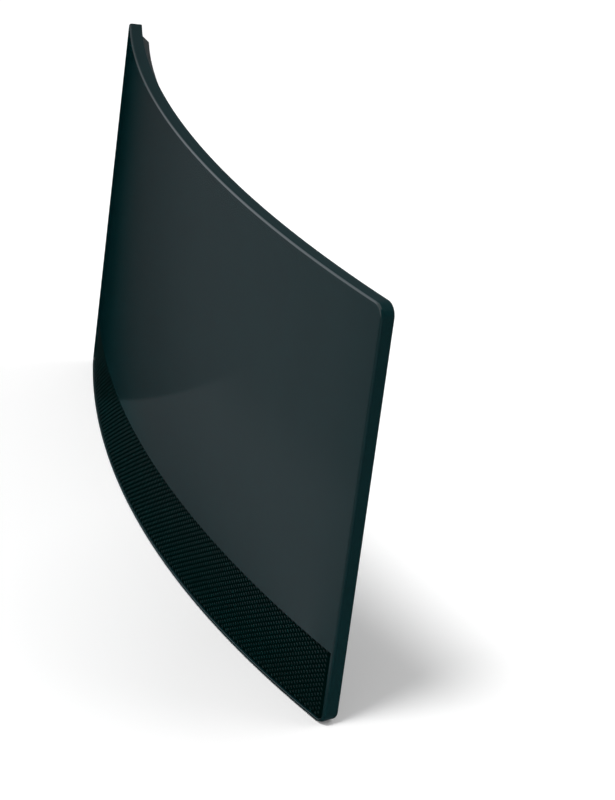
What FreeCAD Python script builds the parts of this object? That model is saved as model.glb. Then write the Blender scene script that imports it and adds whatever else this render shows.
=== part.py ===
"""Indoor TV antenna: a slim curved panel that leans back on a hollow rear foot.

Millimetres, +X to the viewer's right, +Y to the back, +Z up. The panel is modelled upright, as part of a
cylinder that stands on end, and is then leaned back. Its front face is the outside of the bend. A depth is
counted from the front face towards the back, and an arc is a length along that face from its middle line.
"""

import FreeCAD
import Part

import math
import os

from FreeCAD import Vector

# Panel
PANEL_WIDTH = 287.0  # straight across the two ends
PANEL_HEIGHT = 130.0  # up the leaning face, at its middle
BEND_RADIUS = 592.0
LEAN = 7.5  # degrees back from upright
RIM_DEPTH = 4.4
CORNER_RADIUS = 4.0
FRONT_EDGE_RADIUS = 0.8

# Front cover
FRONT_WALL = 1.5
RIM_WALL = 1.7
LEDGE_WIDTH = 1.2  # the rear cover lies on it
REBATE_DEPTH = 1.2  # from the back of the rim down to the ledge
REBATE_CORNER_RADIUS = 2.3

# Grille strip and its recess
GRILLE_TOP = 24.8  # up the leaning face
RECESS_DEPTH = 1.2
RECESS_WALL = 1.3
RECESS_END_RIM = 1.5
RECESS_LIP = 0.9
RECESS_CORNER_RADIUS = 2.5
STRIP_THICKNESS = 0.6
STRIP_GAP = 0.2

# Rear cover
REAR_WALL = 1.5
FLANGE_PROUD = 0.25  # behind the rim
PLATEAU_RISE = 2.75  # behind the flange
PLATEAU_INSET = 3.7  # from the panel's top and ends to the foot of the bevel
PLATEAU_LOW = 6.5
BEVEL_RUN = 1.8
SEAT_GAP = 0.05
COVER_GAP = 0.15

# Rear foot, a hollow swelling of the rear cover
FOOT_WIDTH = 92.0
FOOT_REACH = 50.0  # from the front of the panel's bottom edge
FOOT_BACK_HEIGHT = 24.0
FOOT_TOP = 46.0
FOOT_ROOF_SINK = 0.5  # the roof starts this far inside the plateau's back
FOOT_WALL = 1.8
FOOT_CORNER_RADIUS = 7.0
FOOT_EDGE_RADIUS = 3.0

# Case screws, driven from behind
SCREW_END_INSET = 18.5
SCREW_TOP_INSET = 12.0
SCREW_RISE = 11.2  # the lower screws' height above the grille strip
SCREW_FOOT_GAP = 14.0  # from the foot's side to the screws beside it
SCREW_RADIUS = 1.1
SCREW_HEAD_RADIUS = 2.1
SCREW_HEAD_HEIGHT = 1.3
SCREW_SINK = 1.6  # from the plateau's back to the seat of the head
SCREW_TIP_GAP = 0.9  # from the front wall to the tip
BOSS_RADIUS = 2.6
TOWER_SIDE = 7.0
TOWER_WEB = 1.1  # under the screw head
HEAD_CLEARANCE = 0.35
SHANK_CLEARANCE = 0.2

# Antenna plates
RIB_HEIGHT = 1.3  # from the front wall to the plates
RIB_WIDTH = 1.2
PLATE_THICKNESS = 0.5
PLATE_SPLIT = 8.0  # between the two plates
TAB_WIDTH = 7.0
TAB_DROP = 6.0  # from the foot's top to the low end of the feed tab
PLATE_RISE = 6.0  # from the tab's low end to the low corner of the plate
PLATE_END_INSET = 40.0
PLATE_TOP_INSET = 22.0
PLATE_WAIST = 22.0
PLATE_BAND = 9.0  # metal left round the slot
SLOT_HEIGHT = 8.0
PIN_SIDE = 2.0
PIN_LENGTH = 0.9
PIN_CLEARANCE = 0.1

# Amplifier board, upright in the foot
BOARD_SIDE_GAP = 6.2
BOARD_EDGE_GAP = 2.2  # to the foot's floor, and below the top of its back wall
BOARD_THICKNESS = 1.6
BOARD_STANDOFF = 6.0
BOARD_SCREW_INSET = 4.0
BOARD_SCREW_GRIP = 4.5
CAN_MARGIN = 2.0  # to the board's upper and lower edges
CAN_DEPTH = 5.0
CAN_WALL = 0.3
CAN_GAP = 1.5  # to the feed lead on one side and the board screw on the other
LEAD_WIDTH = 3.0
LEAD_THICKNESS = 0.4
LEAD_LAP = 4.0

# Coax jack
COAX_SIDE = -14.0
COAX_RADIUS = 4.75  # crest of the free thread
COAX_ROOT_RADIUS = 4.55  # thread root, inside the nut and the wall
COAX_BASE_RADIUS = 5.4
COAX_REACH = 10.0  # beyond the foot's back
COAX_BORE_RADIUS = 3.1
COAX_INSULATOR_LENGTH = 3.0
COAX_CONTACT_RADIUS = 0.8
COAX_CONTACT_BORE = 0.5
COAX_CONTACT_SINK = 0.75  # from the insulator's face
COAX_SPRING_LENGTH = 6.0  # depth of the contact's bore
NUT_FLATS = 12.0
NUT_THICKNESS = 2.2
THREAD_CLEARANCE = 0.05
PORT_CLEARANCE = 0.25

# Power jack
POWER_SIDE = 16.0
POWER_RADIUS = 3.8
POWER_BORE_RADIUS = 1.9
POWER_BORE_DEPTH = 6.0
POWER_PIN_RADIUS = 0.65
POWER_PIN_SINK = 0.8  # from the mouth to the pin's tip
POWER_SINK = 0.4  # from the foot's back to the mouth

# Rubber pads
PAD_PROUD = 0.2
PAD_SINK = 0.7
PAD_END_INSET = 38.0
PAD_LENGTH = 16.0
PAD_FRONT_DEPTH = 1.5
PAD_WIDTH = 2.0
REAR_PAD_WIDTH = 16.0
REAR_PAD_LENGTH = 8.0
REAR_PAD_INSET = 6.0  # from the foot's side and back

# Depths and heights that follow from the sizes
FLANGE_DEPTH = RIM_DEPTH + FLANGE_PROUD
PLATEAU_DEPTH = FLANGE_DEPTH + PLATEAU_RISE
LEDGE_DEPTH = RIM_DEPTH - REBATE_DEPTH
FLANGE_FRONT = LEDGE_DEPTH + SEAT_GAP
FLANGE_INSET = RIM_WALL + COVER_GAP
HOLLOW_INSET = RIM_WALL + LEDGE_WIDTH
SCREW_SEAT_DEPTH = PLATEAU_DEPTH - SCREW_SINK
TOWER_DEPTH = SCREW_SEAT_DEPTH - TOWER_WEB
SCREW_TIP_DEPTH = FRONT_WALL + SCREW_TIP_GAP
PLATE_DEPTH = FRONT_WALL + RIB_HEIGHT
PLATE_BACK = PLATE_DEPTH + PLATE_THICKNESS
TAB_LOW = FOOT_TOP - TAB_DROP
PLATE_LOW = TAB_LOW + PLATE_RISE
FOOT_INNER_BACK = FOOT_REACH - FOOT_WALL
FOOT_TOP_REACH = PLATEAU_DEPTH + FOOT_TOP * math.tan(math.radians(LEAN)) - FOOT_ROOF_SINK
BOARD_WIDTH = FOOT_WIDTH - 2 * (FOOT_WALL + BOARD_SIDE_GAP)
BOARD_LOW = FOOT_WALL + BOARD_EDGE_GAP
BOARD_HEIGHT = FOOT_BACK_HEIGHT - BOARD_EDGE_GAP - BOARD_LOW
BOARD_MIDDLE = BOARD_LOW + BOARD_HEIGHT / 2
BOARD_BACK = FOOT_INNER_BACK - BOARD_STANDOFF - SEAT_GAP
BOARD_FRONT = BOARD_BACK - BOARD_THICKNESS
BOARD_SCREW_SIDE = BOARD_WIDTH / 2 - BOARD_SCREW_INSET
BOARD_SCREW_TIP = BOARD_BACK + BOARD_SCREW_GRIP
LEAD_SIDE = PLATE_SPLIT / 2 + TAB_WIDTH / 2
COAX_MOUTH = FOOT_REACH + COAX_REACH
COAX_THREAD_START = FOOT_REACH + NUT_THICKNESS + PORT_CLEARANCE
POWER_MOUTH = FOOT_REACH - POWER_SINK

ORIGIN = Vector(0, 0, 0)
X_AXIS = Vector(1, 0, 0)
Y_AXIS = Vector(0, 1, 0)
Z_AXIS = Vector(0, 0, 1)
BEND_AXIS = Vector(0, BEND_RADIUS, 0)
HALF_ARC = BEND_RADIUS * math.asin(PANEL_WIDTH / 2 / BEND_RADIUS)
FAR = 2 * PANEL_WIDTH  # further than any piece reaches
BELOW = -FAR / 4  # under the floor
PAST = 1.0  # how far a cut runs past the face it opens
TOUCH = 0.001


def at(depth, arc):
    """Point in plan at a depth behind the front face and an arc along it."""
    radius = BEND_RADIUS - depth
    angle = arc / BEND_RADIUS
    return Vector(radius * math.sin(angle), BEND_RADIUS - radius * math.cos(angle), 0)


def back_at(depth, x):
    """Y of the surface at a depth, straight behind a given x."""
    return BEND_RADIUS - math.sqrt((BEND_RADIUS - depth) ** 2 - x**2)


def curved_slab(front, back, arc_from, arc_to, low, high):
    """Part of the bent sheet between two depths, two arcs and two heights."""
    middle = (arc_from + arc_to) / 2
    outline = [
        Part.Arc(at(front, arc_from), at(front, middle), at(front, arc_to)).toShape(),
        Part.makeLine(at(front, arc_to), at(back, arc_to)),
        Part.Arc(at(back, arc_to), at(back, middle), at(back, arc_from)).toShape(),
        Part.makeLine(at(back, arc_from), at(front, arc_from)),
    ]
    face = Part.Face(Part.Wire(outline))
    face.translate(Vector(0, 0, low))
    return face.extrude(Vector(0, 0, high - low))


def panel_slab(front, back, inset, low, high):
    """Bent sheet across the panel, the same inset from both ends."""
    return curved_slab(front, back, inset - HALF_ARC, HALF_ARC - inset, low, high)


def leaned(shape):
    """From the upright panel's frame to the level one."""
    turned = shape.copy()
    turned.rotate(ORIGIN, X_AXIS, -LEAN)
    return turned


def upright(shape):
    """From the level frame to the upright panel's."""
    turned = shape.copy()
    turned.rotate(ORIGIN, X_AXIS, LEAN)
    return turned


def level_block(low, high):
    """Block between two heights above the floor, in the upright panel's frame."""
    return upright(Part.makeBox(2 * FAR, 2 * FAR, high - low, Vector(-FAR, -FAR, low)))


def above_floor(solid, height):
    return solid.cut(level_block(height - FAR, height))


def below_floor(solid, height):
    return solid.cut(level_block(height, height + FAR))


def cross_edges(solid):
    """Straight edges that run through the sheet, at its corners."""
    found = []
    for edge in solid.Edges:
        run = edge.Vertexes[-1].Point - edge.Vertexes[0].Point
        if edge.Curve.TypeId == "Part::GeomLine" and abs(run.z) < run.Length / 2:
            found.append(edge)
    return found


def lower_edges(edges):
    middle = sum(edge.CenterOfMass.z for edge in edges) / len(edges)
    return [edge for edge in edges if edge.CenterOfMass.z < middle]


def edges_at_depth(solid, depth):
    """Edges that lie all along the surface at a depth."""
    radius = BEND_RADIUS - depth
    found = []
    for edge in solid.Edges:
        offs = [math.hypot(p.x, p.y - BEND_RADIUS) - radius for p in edge.discretize(5)]
        if max(abs(off) for off in offs) < TOUCH:
            found.append(edge)
    return found


def rod(radius, start, end, x, z):
    """Round bar along Y between two places, in either order."""
    return Part.makeCylinder(radius, abs(end - start), Vector(x, min(start, end), z), Y_AXIS)


def bar(side, start, end, x, z):
    """Square bar along Y."""
    return Part.makeBox(side, end - start, side, Vector(x - side / 2, start, z - side / 2))


def prism(points, direction):
    return Part.Face(Part.makePolygon(points + points[:1])).extrude(direction)


def both_sides(shape):
    return [shape, shape.mirror(ORIGIN, X_AXIS)]


def recess_slab(front, back, gap):
    """The strip's place in the front face, with round lower corners, made smaller by a gap."""
    slab = panel_slab(front, back, RECESS_END_RIM + gap, BELOW, GRILLE_TOP - gap)
    slab = above_floor(slab, RECESS_LIP + gap)
    return slab.makeFillet(RECESS_CORNER_RADIUS - gap, lower_edges(cross_edges(slab)))


def screw_places():
    """Middle of each case screw, across and up the panel."""
    end = PANEL_WIDTH / 2 - SCREW_END_INSET
    top = PANEL_HEIGHT - SCREW_TOP_INSET
    low = GRILLE_TOP + SCREW_RISE
    right = [(end, top), (FOOT_WIDTH / 2 + SCREW_FOOT_GAP, low)]
    return right + [(-x, z) for x, z in right]


def plate_outline():
    """Corners of the right plate, across and up: a feed tab, a narrow waist and a tall outer end."""
    inner = PLATE_SPLIT / 2
    neck = inner + TAB_WIDTH
    outer = PANEL_WIDTH / 2 - PLATE_END_INSET
    high = PANEL_HEIGHT - PLATE_TOP_INSET
    middle = (PLATE_LOW + high) / 2
    waist = PLATE_WAIST / 2
    return [
        (inner, TAB_LOW),
        (neck, TAB_LOW),
        (neck, middle - waist),
        (outer, PLATE_LOW),
        (outer, high),
        (neck, middle + waist),
        (inner, middle + waist),
    ]


def pin_places():
    """Middle of each pin through the right plate, across and up: at its waist and its outer end."""
    middle = (PLATE_LOW + PANEL_HEIGHT - PLATE_TOP_INSET) / 2
    return [(LEAD_SIDE, middle), (PANEL_WIDTH / 2 - PLATE_END_INSET - PLATE_BAND / 2, middle)]


def plate_ribs():
    """Two upright ribs under the right plate, beside its pins."""
    sheet = panel_slab(FRONT_WALL / 2, PLATE_DEPTH - SEAT_GAP, 0, 0, PANEL_HEIGHT)
    ribs = []
    for x, z in pin_places():
        for side in (-1, 1):
            middle = x + side * (PIN_SIDE / 2 + RIB_WIDTH)
            corner = Vector(middle - RIB_WIDTH / 2, 0, z - PLATE_WAIST / 2)
            ribs.append(Part.makeBox(RIB_WIDTH, FAR, PLATE_WAIST, corner).common(sheet))
    return ribs


def front_hollows():
    """Cuts in the front cover: two cavities, the rear cover's rebate and the strip's recess."""
    behind = RIM_DEPTH + PAST
    field_low = GRILLE_TOP + RECESS_WALL
    field = panel_slab(FRONT_WALL, behind, HOLLOW_INSET, field_low, PANEL_HEIGHT - HOLLOW_INSET)
    behind_strip = panel_slab(RECESS_DEPTH + RECESS_WALL, behind, HOLLOW_INSET, BELOW, field_low)
    rebate = above_floor(panel_slab(LEDGE_DEPTH, behind, RIM_WALL, BELOW, PANEL_HEIGHT - RIM_WALL), RIM_WALL)
    rebate = rebate.makeFillet(REBATE_CORNER_RADIUS, cross_edges(rebate))
    return [field, above_floor(behind_strip, HOLLOW_INSET), rebate, recess_slab(-PAST, RECESS_DEPTH, 0)]


def front_block():
    """Outer form of the front cover: a front edge rounded along its top and ends, a level bottom."""
    block = panel_slab(0, RIM_DEPTH, 0, BELOW, PANEL_HEIGHT)
    block = block.makeFillet(CORNER_RADIUS, [edge for edge in cross_edges(block) if edge.CenterOfMass.z > 0])
    rim = [edge for edge in edges_at_depth(block, 0) if edge.BoundBox.ZMax > 0]
    block = block.makeFillet(FRONT_EDGE_RADIUS, rim)
    standing = above_floor(panel_slab(-PAST, RIM_DEPTH + PAST, 0, BELOW, PANEL_HEIGHT + PAST), 0)
    return block.common(standing.makeFillet(CORNER_RADIUS, lower_edges(cross_edges(standing))))


def front_cover():
    shell = front_block().cut(front_hollows())
    root = FRONT_WALL / 2
    posts, holes = [], []
    for x, z in screw_places():
        end = back_at(TOWER_DEPTH, x) - 2 * SEAT_GAP
        posts.append(rod(BOSS_RADIUS, back_at(root, x), end, x, z))
        holes.append(rod(SCREW_RADIUS, back_at(SCREW_TIP_DEPTH, x) - SEAT_GAP, end + PAST, x, z))
    for x, z in pin_places():
        posts += both_sides(bar(PIN_SIDE, back_at(root, x), back_at(PLATE_BACK, x) + PIN_LENGTH, x, z))
    for rib in plate_ribs():
        posts += both_sides(rib)
    return shell.fuse(posts).removeSplitter().cut(holes + both_sides(front_pad(SEAT_GAP)))


def grille_strip():
    back = RECESS_DEPTH - SEAT_GAP
    return recess_slab(back - STRIP_THICKNESS, back, STRIP_GAP)


def bevel_wedge(offset):
    """What the bevel takes off the plateau's right end, moved in by an offset."""
    arc = HALF_ARC - PLATEAU_INSET
    low = at(FLANGE_DEPTH, arc)
    slope = (at(PLATEAU_DEPTH, arc - BEVEL_RUN) - low).normalize()
    outward = Vector(slope.y, -slope.x, 0)
    start = low - outward * offset
    length = 4 * (PLATEAU_DEPTH + BEVEL_RUN)
    ends = [start - slope * length, start + slope * length]
    wedge = prism(ends + [end + outward * length for end in ends[::-1]], Vector(0, 0, 2 * FAR))
    wedge.translate(Vector(0, 0, -FAR))
    return wedge


def plateau(front, offset):
    """Raised middle of the rear cover, from a front depth to its back face, made smaller by an offset."""
    top = PANEL_HEIGHT - PLATEAU_INSET
    ahead = -FAR / 8
    profile = [
        Vector(0, ahead, PLATEAU_LOW),
        Vector(0, FLANGE_DEPTH, PLATEAU_LOW),
        Vector(0, PLATEAU_DEPTH, PLATEAU_LOW + BEVEL_RUN),
        Vector(0, PLATEAU_DEPTH, top - BEVEL_RUN),
        Vector(0, FLANGE_DEPTH, top),
        Vector(0, ahead, top),
    ]
    wire = Part.makePolygon(profile + profile[:1])
    if offset:
        wire = wire.makeOffset2D(-offset, 2)
    angle = math.degrees((HALF_ARC - PLATEAU_INSET - offset) / BEND_RADIUS)
    face = Part.Face(wire)
    face.rotate(BEND_AXIS, Z_AXIS, -angle)
    block = face.revolve(BEND_AXIS, Z_AXIS, 2 * angle)
    in_front = panel_slab(2 * ahead, front, -HALF_ARC / 4, -FAR, FAR)
    return block.cut(both_sides(bevel_wedge(offset)) + [in_front])


def foot_block(front, offset):
    """The foot as a level solid from a front Y to its back wall, or its hollow, smaller by an offset."""
    corners = [
        Vector(0, front - offset, 0),
        Vector(0, FOOT_REACH, 0),
        Vector(0, FOOT_REACH, FOOT_BACK_HEIGHT),
        Vector(0, FOOT_TOP_REACH, FOOT_TOP),
        Vector(0, front - offset, FOOT_TOP),
    ]
    wire = Part.makePolygon(corners + corners[:1])
    if offset:
        wire = wire.makeOffset2D(-offset, 2)
    width = FOOT_WIDTH - 2 * offset
    block = Part.Face(wire).extrude(Vector(width, 0, 0))
    block.translate(Vector(-width / 2, 0, 0))

    back = FOOT_REACH - offset
    boxes = [(edge, edge.BoundBox) for edge in block.Edges]
    upright_edges = [edge for edge, box in boxes if box.YMin > back - TOUCH and box.XLength < TOUCH]
    block = block.makeFillet(FOOT_CORNER_RADIUS - offset, upright_edges)
    if offset:
        return block
    boxes = [(edge, edge.BoundBox) for edge in block.Edges]
    high_edges = [(edge, box) for edge, box in boxes if box.ZMin > FOOT_BACK_HEIGHT / 2]
    roof_edges = [
        edge for edge, box in high_edges
        if box.YMin > FOOT_TOP_REACH - FOOT_EDGE_RADIUS and box.YMax > FOOT_TOP_REACH + FOOT_EDGE_RADIUS
    ]
    return block.makeFillet(FOOT_EDGE_RADIUS, roof_edges)


def rear_shell():
    """The rear cover's walls in the upright frame, with the screw towers but no ports."""
    flange = panel_slab(FLANGE_FRONT, FLANGE_DEPTH, FLANGE_INSET, BELOW, PANEL_HEIGHT - FLANGE_INSET)
    flange = above_floor(flange, FLANGE_INSET)
    flange = flange.makeFillet(REBATE_CORNER_RADIUS - COVER_GAP, cross_edges(flange))
    raised = plateau(FLANGE_FRONT, 0)

    in_front = panel_slab(-FAR / 4, FLANGE_FRONT, 0, -FAR, FAR)
    rim = below_floor(panel_slab(-FAR / 4, RIM_DEPTH + COVER_GAP, 0, BELOW, FAR), FLANGE_INSET)
    foot = upright(foot_block(0, 0)).cut([in_front, rim])
    hollow = upright(foot_block(BELOW / 2, FOOT_WALL)).fuse(plateau(-FRONT_WALL, REAR_WALL))
    shell = flange.fuse([raised, foot]).removeSplitter().cut(hollow)

    towers, holes = [], []
    for x, z in screw_places():
        seat = back_at(SCREW_SEAT_DEPTH, x)
        tower = bar(TOWER_SIDE, back_at(TOWER_DEPTH, x), back_at(PLATEAU_DEPTH, x), x, z)
        towers.append(tower.common(raised))
        holes.append(rod(SCREW_HEAD_RADIUS + HEAD_CLEARANCE, seat, seat + FAR, x, z))
        holes.append(rod(SCREW_RADIUS + SHANK_CLEARANCE, seat - TOWER_WEB - PAST, seat + PAST, x, z))
    return shell.fuse(towers).removeSplitter().cut(holes)


def rear_cover():
    """The rear cover in the level frame, with its board bosses, socket ports and pad pockets."""
    seat = FOOT_INNER_BACK - BOARD_STANDOFF
    bosses, ports = [], []
    for x in (-BOARD_SCREW_SIDE, BOARD_SCREW_SIDE):
        bosses.append(rod(BOSS_RADIUS, seat, FOOT_INNER_BACK + FOOT_WALL / 2, x, BOARD_MIDDLE))
        ports.append(rod(SCREW_RADIUS, seat - PAST, BOARD_SCREW_TIP + SEAT_GAP, x, BOARD_MIDDLE))
    for x, radius in ((COAX_SIDE, COAX_RADIUS), (POWER_SIDE, POWER_RADIUS)):
        ports.append(rod(radius + PORT_CLEARANCE, FOOT_INNER_BACK - PAST, FOOT_REACH + PAST, x, BOARD_MIDDLE))
    shell = leaned(rear_shell()).fuse(bosses).removeSplitter()
    return shell.cut(ports + both_sides(rear_pad(SEAT_GAP)))


def screw(seat, tip, x, z):
    """Flat-topped screw along Y, from the seat of its head to its tip."""
    outward = math.copysign(1, seat - tip)
    head = rod(SCREW_HEAD_RADIUS, seat, seat + outward * SCREW_HEAD_HEIGHT, x, z)
    return head.fuse(rod(SCREW_RADIUS - SEAT_GAP, seat, tip, x, z)).removeSplitter()


def case_screws():
    made = []
    for x, z in screw_places():
        made.append(screw(back_at(SCREW_SEAT_DEPTH, x) + SEAT_GAP, back_at(SCREW_TIP_DEPTH, x), x, z))
    return Part.makeCompound(made)


def board_screws():
    right = screw(BOARD_FRONT - SEAT_GAP, BOARD_SCREW_TIP, BOARD_SCREW_SIDE, BOARD_MIDDLE)
    return Part.makeCompound(both_sides(right))


def antenna_plate():
    """The right plate: a bow tie's half with a slot, bent like the panel."""
    outline = plate_outline()
    neck = outline[2][0]
    outer, low = outline[3]
    high = outline[4][1]
    through = Vector(0, FAR, 0)
    blank = prism([Vector(x, 0, z) for x, z in outline], through)
    corner = Vector(neck + PLATE_BAND, 0, (low + high - SLOT_HEIGHT) / 2)
    slot = Part.makeBox(outer - neck - 2 * PLATE_BAND, FAR, SLOT_HEIGHT, corner)
    holes = [bar(PIN_SIDE + 2 * PIN_CLEARANCE, 0, FAR, x, z) for x, z in pin_places()]
    sheet = panel_slab(PLATE_DEPTH, PLATE_BACK, 0, 0, PANEL_HEIGHT)
    return sheet.common(blank).cut(holes + [slot])


def ribbon(route, thickness):
    """Closed outline round a bent strip whose middle line follows a route of points in the YZ plane."""
    normals = []
    for start, end in zip(route, route[1:]):
        run = (end - start).normalize()
        normals.append(Vector(0, -run.z, run.y))
    offsets = [normals[0] * thickness / 2]
    for before, after in zip(normals, normals[1:]):
        offsets.append((before + after) * (thickness / 2 / (1 + before.dot(after))))
    offsets.append(normals[-1] * thickness / 2)
    left = [point + offset for point, offset in zip(route, offsets)]
    right = [point - offset for point, offset in zip(route, offsets)]
    return left + right[::-1]


def feed_lead():
    """Bent strip from the right plate's tab to the board, in the level frame."""
    lift = LEAD_THICKNESS / 2 + SEAT_GAP
    tab_y = back_at(PLATE_BACK, LEAD_SIDE + LEAD_WIDTH / 2) + lift
    tab = leaned(Part.makeLine(Vector(0, tab_y, TAB_LOW + LEAD_LAP), Vector(0, tab_y, TAB_LOW)))
    board_y = BOARD_FRONT - lift
    route = [vertex.Point for vertex in tab.Vertexes]
    route += [Vector(0, board_y, BOARD_MIDDLE + LEAD_LAP), Vector(0, board_y, BOARD_MIDDLE)]
    strip = prism(ribbon(route, LEAD_THICKNESS), Vector(LEAD_WIDTH, 0, 0))
    strip.translate(Vector(LEAD_SIDE - LEAD_WIDTH / 2, 0, 0))
    return strip


def amplifier_board():
    corner = Vector(-BOARD_WIDTH / 2, BOARD_FRONT, BOARD_LOW)
    board = Part.makeBox(BOARD_WIDTH, BOARD_THICKNESS, BOARD_HEIGHT, corner)
    radius = SCREW_RADIUS + SHANK_CLEARANCE
    hole = rod(radius, BOARD_FRONT - PAST, BOARD_BACK + PAST, BOARD_SCREW_SIDE, BOARD_MIDDLE)
    return board.cut(both_sides(hole))


def shield_can():
    side = LEAD_SIDE + LEAD_WIDTH / 2 + CAN_GAP
    width = BOARD_SCREW_SIDE - SCREW_HEAD_RADIUS - CAN_GAP - side
    height = BOARD_HEIGHT - 2 * CAN_MARGIN
    corner = Vector(side, BOARD_FRONT - SEAT_GAP - CAN_DEPTH, BOARD_LOW + CAN_MARGIN)
    can = Part.makeBox(width, CAN_DEPTH, height, corner)
    inner = corner + Vector(CAN_WALL, CAN_WALL, CAN_WALL)
    return can.cut(Part.makeBox(width - 2 * CAN_WALL, CAN_DEPTH, height - 2 * CAN_WALL, inner))


def coax_jack_body():
    shoulder = FOOT_INNER_BACK - SEAT_GAP
    base = rod(COAX_BASE_RADIUS, BOARD_BACK + SEAT_GAP, shoulder, COAX_SIDE, BOARD_MIDDLE)
    root = rod(COAX_ROOT_RADIUS, shoulder, COAX_THREAD_START, COAX_SIDE, BOARD_MIDDLE)
    thread = rod(COAX_RADIUS, COAX_THREAD_START, COAX_MOUTH, COAX_SIDE, BOARD_MIDDLE)
    bore = rod(COAX_BORE_RADIUS, BOARD_BACK, COAX_MOUTH + PAST, COAX_SIDE, BOARD_MIDDLE)
    return base.fuse([root, thread]).removeSplitter().cut(bore)


def coax_jack_insulator():
    start = COAX_MOUTH - COAX_INSULATOR_LENGTH
    plug = rod(COAX_BORE_RADIUS - SEAT_GAP, start, COAX_MOUTH, COAX_SIDE, BOARD_MIDDLE)
    hole = rod(COAX_CONTACT_RADIUS + SEAT_GAP, start - PAST, COAX_MOUTH + PAST, COAX_SIDE, BOARD_MIDDLE)
    return plug.cut(hole)


def coax_jack_contact():
    mouth = COAX_MOUTH - COAX_CONTACT_SINK
    tube = rod(COAX_CONTACT_RADIUS, BOARD_BACK + SEAT_GAP, mouth, COAX_SIDE, BOARD_MIDDLE)
    return tube.cut(rod(COAX_CONTACT_BORE, mouth - COAX_SPRING_LENGTH, mouth + PAST, COAX_SIDE, BOARD_MIDDLE))


def coax_nut():
    corner = NUT_FLATS / math.sqrt(3)
    points = []
    for turn in range(6):
        angle = math.radians(60 * turn)
        x = COAX_SIDE + corner * math.cos(angle)
        points.append(Vector(x, FOOT_REACH, BOARD_MIDDLE + corner * math.sin(angle)))
    nut = prism(points, Vector(0, NUT_THICKNESS, 0))
    end = FOOT_REACH + NUT_THICKNESS + PAST
    return nut.cut(rod(COAX_ROOT_RADIUS + THREAD_CLEARANCE, FOOT_REACH - PAST, end, COAX_SIDE, BOARD_MIDDLE))


def power_jack_body():
    body = rod(POWER_RADIUS, BOARD_BACK + SEAT_GAP, POWER_MOUTH, POWER_SIDE, BOARD_MIDDLE)
    end = POWER_MOUTH - POWER_BORE_DEPTH
    bore = rod(POWER_BORE_RADIUS, end, POWER_MOUTH + PAST, POWER_SIDE, BOARD_MIDDLE)
    pin_hole = rod(POWER_PIN_RADIUS + SEAT_GAP, BOARD_BACK, POWER_MOUTH, POWER_SIDE, BOARD_MIDDLE)
    return body.cut([bore, pin_hole])


def power_jack_pin():
    tip = POWER_MOUTH - POWER_PIN_SINK
    return rod(POWER_PIN_RADIUS, BOARD_BACK + SEAT_GAP, tip, POWER_SIDE, BOARD_MIDDLE)


def front_pad(grow):
    """Right front pad in the upright frame, made larger by a clearance."""
    arc = HALF_ARC - PAD_END_INSET
    half = PAD_LENGTH / 2 + grow
    back = PAD_FRONT_DEPTH + PAD_WIDTH + grow
    slab = curved_slab(PAD_FRONT_DEPTH - grow, back, arc - half, arc + half, BELOW, -BELOW)
    return below_floor(above_floor(slab, -PAD_PROUD), PAD_SINK + grow)


def rear_pad(grow):
    """Right rear pad in the level frame, made larger by a clearance."""
    wide = REAR_PAD_WIDTH + 2 * grow
    long = REAR_PAD_LENGTH + 2 * grow
    x = FOOT_WIDTH / 2 - REAR_PAD_INSET + grow - wide
    y = FOOT_REACH - REAR_PAD_INSET + grow - long
    return Part.makeBox(wide, long, PAD_PROUD + PAD_SINK + grow, Vector(x, y, -PAD_PROUD))


def pieces():
    """Every piece by name, in the level frame with the front of the panel's bottom edge at the origin."""
    made = {
        "front_cover": leaned(front_cover()),
        "grille_strip": leaned(grille_strip()),
        "rear_cover": rear_cover(),
        "case_screws": leaned(case_screws()),
        "amplifier_board": amplifier_board(),
        "board_screws": board_screws(),
        "shield_can": shield_can(),
        "coax_jack_body": coax_jack_body(),
        "coax_jack_insulator": coax_jack_insulator(),
        "coax_jack_contact": coax_jack_contact(),
        "coax_nut": coax_nut(),
        "power_jack_body": power_jack_body(),
        "power_jack_pin": power_jack_pin(),
    }
    pairs = {
        "antenna_plate": leaned(antenna_plate()),
        "feed_lead": feed_lead(),
        "pad_front": leaned(front_pad(0)),
        "pad_rear": rear_pad(0),
    }
    for name, right in pairs.items():
        made[name + "_right"], made[name + "_left"] = both_sides(right)
    return made


def main():
    os.makedirs("parts", exist_ok=True)
    made = pieces()
    box = Part.makeCompound(list(made.values())).optimalBoundingBox()
    move = Vector(0, -(box.YMin + box.YMax) / 2, -box.ZMin)
    print("panel's bottom edge at y", round(move.y, 4), "z", round(move.z, 4))
    print("size", round(box.XLength, 3), round(box.YLength, 3), round(box.ZLength, 3))
    for name, shape in made.items():
        shape.translate(move)
        shape.exportStep(os.path.join("parts", name + ".step"))
        print(name, "solids", len(shape.Solids), "valid", shape.isValid(), "volume", round(shape.Volume, 1))


main()
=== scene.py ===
# %% [markdown]
# # An indoor TV antenna
# The solids of the antenna come packed as a fixed frame, in metres, and this lesson dresses them.
# The real thing is a slim curved panel that leans back on a hollow foot. Its front is glossy
# charcoal plastic with a dotted grille strip along the bottom, and its back is matt plastic with
# four screws and two sockets. Solids whose shape is right stay and only get a finish. The glossy
# front, the screws, the sockets and the pads are modelled again and the grille dots are added,
# because facets and missing small detail show most on them.

# %% Load the solids
import math

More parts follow.
